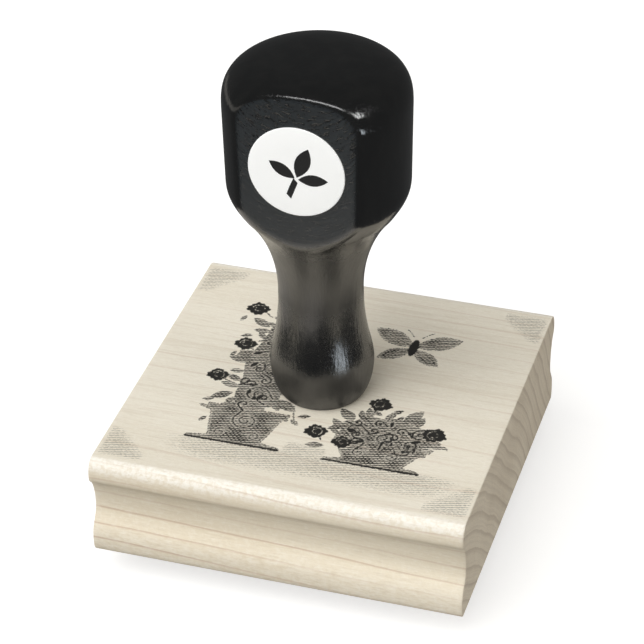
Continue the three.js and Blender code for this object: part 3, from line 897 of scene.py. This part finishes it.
def rounded_plan(low, high, radius, step=0.6):
    """A rectangle with round corners, as a closed loop of points with an even step."""
    corners = [(high[0] - radius, low[1] + radius, -90), (high[0] - radius, high[1] - radius, 0),
               (low[0] + radius, high[1] - radius, 90), (low[0] + radius, low[1] + radius, 180)]
    raw = []
    for x, y, first in corners:
        turn = np.radians(np.linspace(first, first + 90, 10))
        raw.append(np.stack([x + radius * np.cos(turn), y + radius * np.sin(turn)], 1))
    raw = np.vstack(raw + [raw[0][:1]])
    length = np.concatenate([[0], np.cumsum(np.linalg.norm(np.diff(raw, axis=0), axis=1))])
    at = np.arange(0, length[-1], length[-1] / round(length[-1] / step))
    return np.stack([np.interp(at, length, raw[:, 0]), np.interp(at, length, raw[:, 1])], 1)


def foam():
    """The cushion: its walls pull in a little between the two films and are rough with cut cells."""
    plan = rounded_plan(FOAM_LOW, FOAM_HIGH, CORNER_RADIUS)
    middle = (FOAM_LOW[:2] + FOAM_HIGH[:2]) / 2
    outward = plan - np.roll(plan, 1, 0)
    outward = np.stack([outward[:, 1], -outward[:, 0]], 1) / np.linalg.norm(outward, axis=1)[:, None]
    height = FOAM_HIGH[2] - FOAM_LOW[2]
    inset, waist, cells = 0.08, 0.42, 0.035
    walls = []
    for level in np.linspace(0, 1, 13):
        between_films = math.sin(math.pi * level)
        pull = inset + waist * between_films + RNG.normal(0, cells, len(plan)) * between_films
        walls.append((plan - outward * pull[:, None], level))
    below = [(middle + (plan - middle) * share, 0.0) for share in (0.5, 0.9)]
    above = [(middle + (plan - middle) * share, 1.0) for share in (0.9, 0.5)]
    rings = [np.column_stack([ring, np.full(len(ring), FOAM_LOW[2] + level * height)])
             for ring, level in below + walls + above]
    points, faces = ring_piece(rings)
    grey = speckled("cushion_foam", (0.62, 0.62, 0.60), (0.36, 0.36, 0.35), 3.2, 0.85, 0.16)
    piece = new_piece("cushion_foam", points, faces, "stamp", grey)
    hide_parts("foam_cushion")
    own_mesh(piece)


def rounded_corners(flat, half, radius):
    """Points of a rectangle's grid, drawn in at its corners to a round outline."""
    over = np.maximum(np.abs(flat) - (half - radius), 0)
    square = np.maximum(over.max(1), 1e-9)
    diagonal = np.maximum(np.linalg.norm(over, axis=1), 1e-9)
    pull = np.where((over > 0).all(1), square / diagonal, 1.0)
    return np.sign(flat) * (np.abs(flat) - over + over * pull[:, None])


def die():
    """The rubber sheet with the picture standing out of its underside. The ink stands at full height
    on a low, wide shoulder, and the sheet's outer edge is a little higher than its ground."""
    low, high = DIE_LOW, DIE_HIGH
    step = 0.3
    xs = np.linspace(low[0], high[0], round((high[0] - low[0]) / step) + 1)
    ys = np.linspace(low[1], high[1], round((high[1] - low[1]) / step) + 1)
    x, y = np.meshgrid(xs, ys, indexing="ij")
    flat = np.stack([x.ravel(), y.ravel()], 1)
    plan = rounded_corners(flat, (high - low)[:2] / 2, CORNER_RADIUS)
    solid, masses, _ = picture(plan)
    ink = np.minimum(solid, masses)
    shoulder_width, shoulder_share, edge_lift = 2.2, 0.22, 0.08
    raised = smoothstep(ink, 0.30, -0.08)
    shoulder = smoothstep(ink, shoulder_width, 0.0) * shoulder_share
    depth = RELIEF_DEPTH * np.maximum(raised, shoulder)
    rim = np.minimum(flat - low[:2], high[:2] - flat).min(1)
    ground = low[2] + RELIEF_DEPTH
    bottom = np.where(rim < 1e-6, ground + edge_lift, ground - depth)
    rows, columns = len(xs), len(ys)
    under = np.column_stack([plan, bottom])
    over_side = np.column_stack([plan, np.full(len(plan), high[2])])
    faces = grid_faces(rows, columns)
    number = np.arange(rows * columns).reshape(rows, columns)
    edge = [*number[:, 0], *number[-1, 1:], *number[-2::-1, -1], *number[0, -2:0:-1]]
    points = np.vstack([under, over_side[edge], [[0, 0, high[2]]]])
    first, count = len(under), len(edge)
    rim_faces = [[edge[i], edge[(i + 1) % count], first + (i + 1) % count, first + i] for i in range(count)]
    cap = [[first + i, first + (i + 1) % count, first + count] for i in range(count)]
    red = speckled("die_rubber", (0.33, 0.045, 0.035), (0.23, 0.030, 0.026), 5.0, 0.55, 0.02)
    piece = new_piece("die_relief", points, faces.tolist() + rim_faces + cap, "die", red)
    piece.data.polygons.foreach_set("use_smooth", [len(p.vertices) == 4 for p in piece.data.polygons])
    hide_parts("rubber_die")


def dress_cad_nodes():
    film = speckled("adhesive_film", (0.74, 0.72, 0.64), (0.60, 0.57, 0.48), 1.6, 0.3, 0.02)
    zinc = speckled("screw_zinc", (0.72, 0.63, 0.42), (0.55, 0.47, 0.30), 2.4, 0.24, 0.01, metallic=1.0)
    for name, material in (("mounting_adhesive", film), ("die_adhesive", film), ("handle_screw", zinc)):
        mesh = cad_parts[name].data
        mesh.materials.clear()
        mesh.materials.append(material)


# ---- Floor, light and camera ----

def floor_plane(name, level, albedo, glow):
    """A staged plane at a level in metres. Nothing mirrors it: the cards stand for it in the lacquer."""
    s = Shader(name)
    fine = s.noise(s.at, 0.6, 2.0)
    colour = s.mix(s.step(fine, 0.3, 0.7), (albedo - 0.01,) * 3, (albedo + 0.01,) * 3)
    material = s.finish(Base_Color=colour, Roughness=0.9, Emission_Color=(1.0, 1.0, 1.0),
                        Emission_Strength=glow)
    mesh = bpy.data.meshes.new(name)
    reach = 3.0
    corners = [(x * reach, y * reach, level) for x, y in ((-1, -1), (1, -1), (1, 1), (-1, 1))]
    mesh.from_pydata(corners, [], [(0, 1, 2, 3)])
    mesh.materials.append(material)
    plane = bpy.data.objects.new(name, mesh)
    bpy.context.scene.collection.objects.link(plane)
    plane.visible_glossy = False
    return plane


def floor():
    """The white floor that is seen, and one just below it that sets how much light comes back up."""
    floor_plane("floor", 0.0, 0.50, 0.62).visible_diffuse = False
    floor_plane("floor_bounce", -0.5 * MM, 0.58, 0.0).visible_camera = False


def direction(azimuth, elevation):
    """Unit vector towards a place at this azimuth, 0 in front of the stamp and 90 to its right."""
    a, e = math.radians(azimuth), math.radians(elevation)
    return Vector((math.sin(a) * math.cos(e), -math.cos(a) * math.cos(e), math.sin(e)))


def sun(name, azimuth, elevation, strength, angle, colour):
    """A broad light from far away that nothing mirrors."""
    data = bpy.data.lights.new(name, "SUN")
    data.energy, data.angle, data.color = strength, math.radians(angle), colour
    lamp = bpy.data.objects.new(name, data)
    lamp.rotation_mode = "QUATERNION"
    lamp.rotation_quaternion = direction(azimuth, elevation).to_track_quat("Z", "Y")
    lamp.visible_glossy = False
    bpy.context.scene.collection.objects.link(lamp)


def window(name, azimuth, elevation, distance, size, power, aim, colour=(1, 1, 1)):
    """A rectangular light at a distance from `aim`, facing it, that only shows in reflections."""
    data = bpy.data.lights.new(name, "AREA")
    data.shape, data.size, data.size_y = "RECTANGLE", size[0], size[1]
    data.energy, data.color = power, colour
    lamp = bpy.data.objects.new(name, data)
    away = direction(azimuth, elevation)
    lamp.rotation_mode = "QUATERNION"
    lamp.rotation_quaternion = away.to_track_quat("Z", "Y")
    lamp.location = Vector(aim) + away * distance
    lamp.visible_camera = False
    lamp.visible_diffuse = False
    bpy.context.scene.collection.objects.link(lamp)
    return lamp


def studio():
    """A soft key from the front left, a dome and a fill, and windows and cards to be mirrored."""
    scene = bpy.context.scene
    scene.view_settings.view_transform = "Standard"
    scene.world = bpy.data.worlds.new("studio")
    scene.world.use_nodes = True
    background = scene.world.node_tree.nodes["Background"]
    background.inputs["Color"].default_value = (0.97, 0.985, 1.0, 1)
    background.inputs["Strength"].default_value = 0.08
    sun("fill", 84, 14, 0.66, 50, (1.0, 0.93, 0.80))
    sun("key", -34, 48, 2.65, 64, (1.0, 0.995, 0.98))
    sun("dome", 0, 90, 1.15, 180, (1.0, 0.975, 0.92))
    top = (HANDLE_X * MM, HANDLE_Y * MM, HANDLE_HIGH[2] * MM)
    foot = (HANDLE_X * MM, HANDLE_Y * MM, (HANDLE_LOW[2] + 10) * MM)
    window("strip_front", 0, 66, 1.2, (0.9, 0.35), 3.0, top)
    window("strip_right", 70, 38, 1.2, (0.16, 0.42), 1.5, top)
    window("window_low", 59, -12, 1.0, (0.34, 0.15), 0.62, foot, (0.85, 0.93, 1.0))
    window("card_left", -88, -8, 1.0, (2.2, 0.18), 0.33, foot, (1.0, 0.95, 0.86))
    # An oval on the floor, shining straight up and turned square to the camera.
    on_floor = direction(-50, 0) * 0.032 + Vector((0, 0, MM))
    card = window("card_floor", 0, -90, 0.0, (0.13, 0.17), 0.038, on_floor, (1.0, 0.93, 0.84))
    card.data.shape = "ELLIPSE"
    facing_up = Matrix.Rotation(math.pi, 3, "X")
    card.rotation_quaternion = (Matrix.Rotation(math.radians(18), 3, "Z") @ facing_up).to_quaternion()


# Where the camera stands: angles in degrees, and the rest in millimetres.
CAMERA_AZIMUTH, CAMERA_ELEVATION, CAMERA_ROLL = 17.79, 34.47, -1.10
CAMERA_AIM = (29.5, -96.3, 112.5)
CAMERA_DISTANCE = 410.0
CAMERA_LENS = 148.6


def camera():
    data = bpy.data.cameras.new("camera")
    data.sensor_width = 36.0
    data.lens = CAMERA_LENS
    data.clip_start, data.clip_end = 0.01, 20
    made = bpy.data.objects.new("camera", data)
    back = direction(CAMERA_AZIMUTH, CAMERA_ELEVATION)
    right = direction(CAMERA_AZIMUTH + 90, 0)
    up = back.cross(right)
    roll = math.radians(CAMERA_ROLL)
    across = math.cos(roll) * right + math.sin(roll) * up
    upward = -math.sin(roll) * right + math.cos(roll) * up
    made.rotation_mode = "QUATERNION"
    made.rotation_quaternion = Matrix((across, upward, back)).transposed().to_quaternion()
    made.location = (Vector(CAMERA_AIM) + back * CAMERA_DISTANCE) * MM
    bpy.context.scene.collection.objects.link(made)
    bpy.context.scene.camera = made


mount_block()
handle()
label()
foam()
die()
dress_cad_nodes()
floor()
studio()
camera()
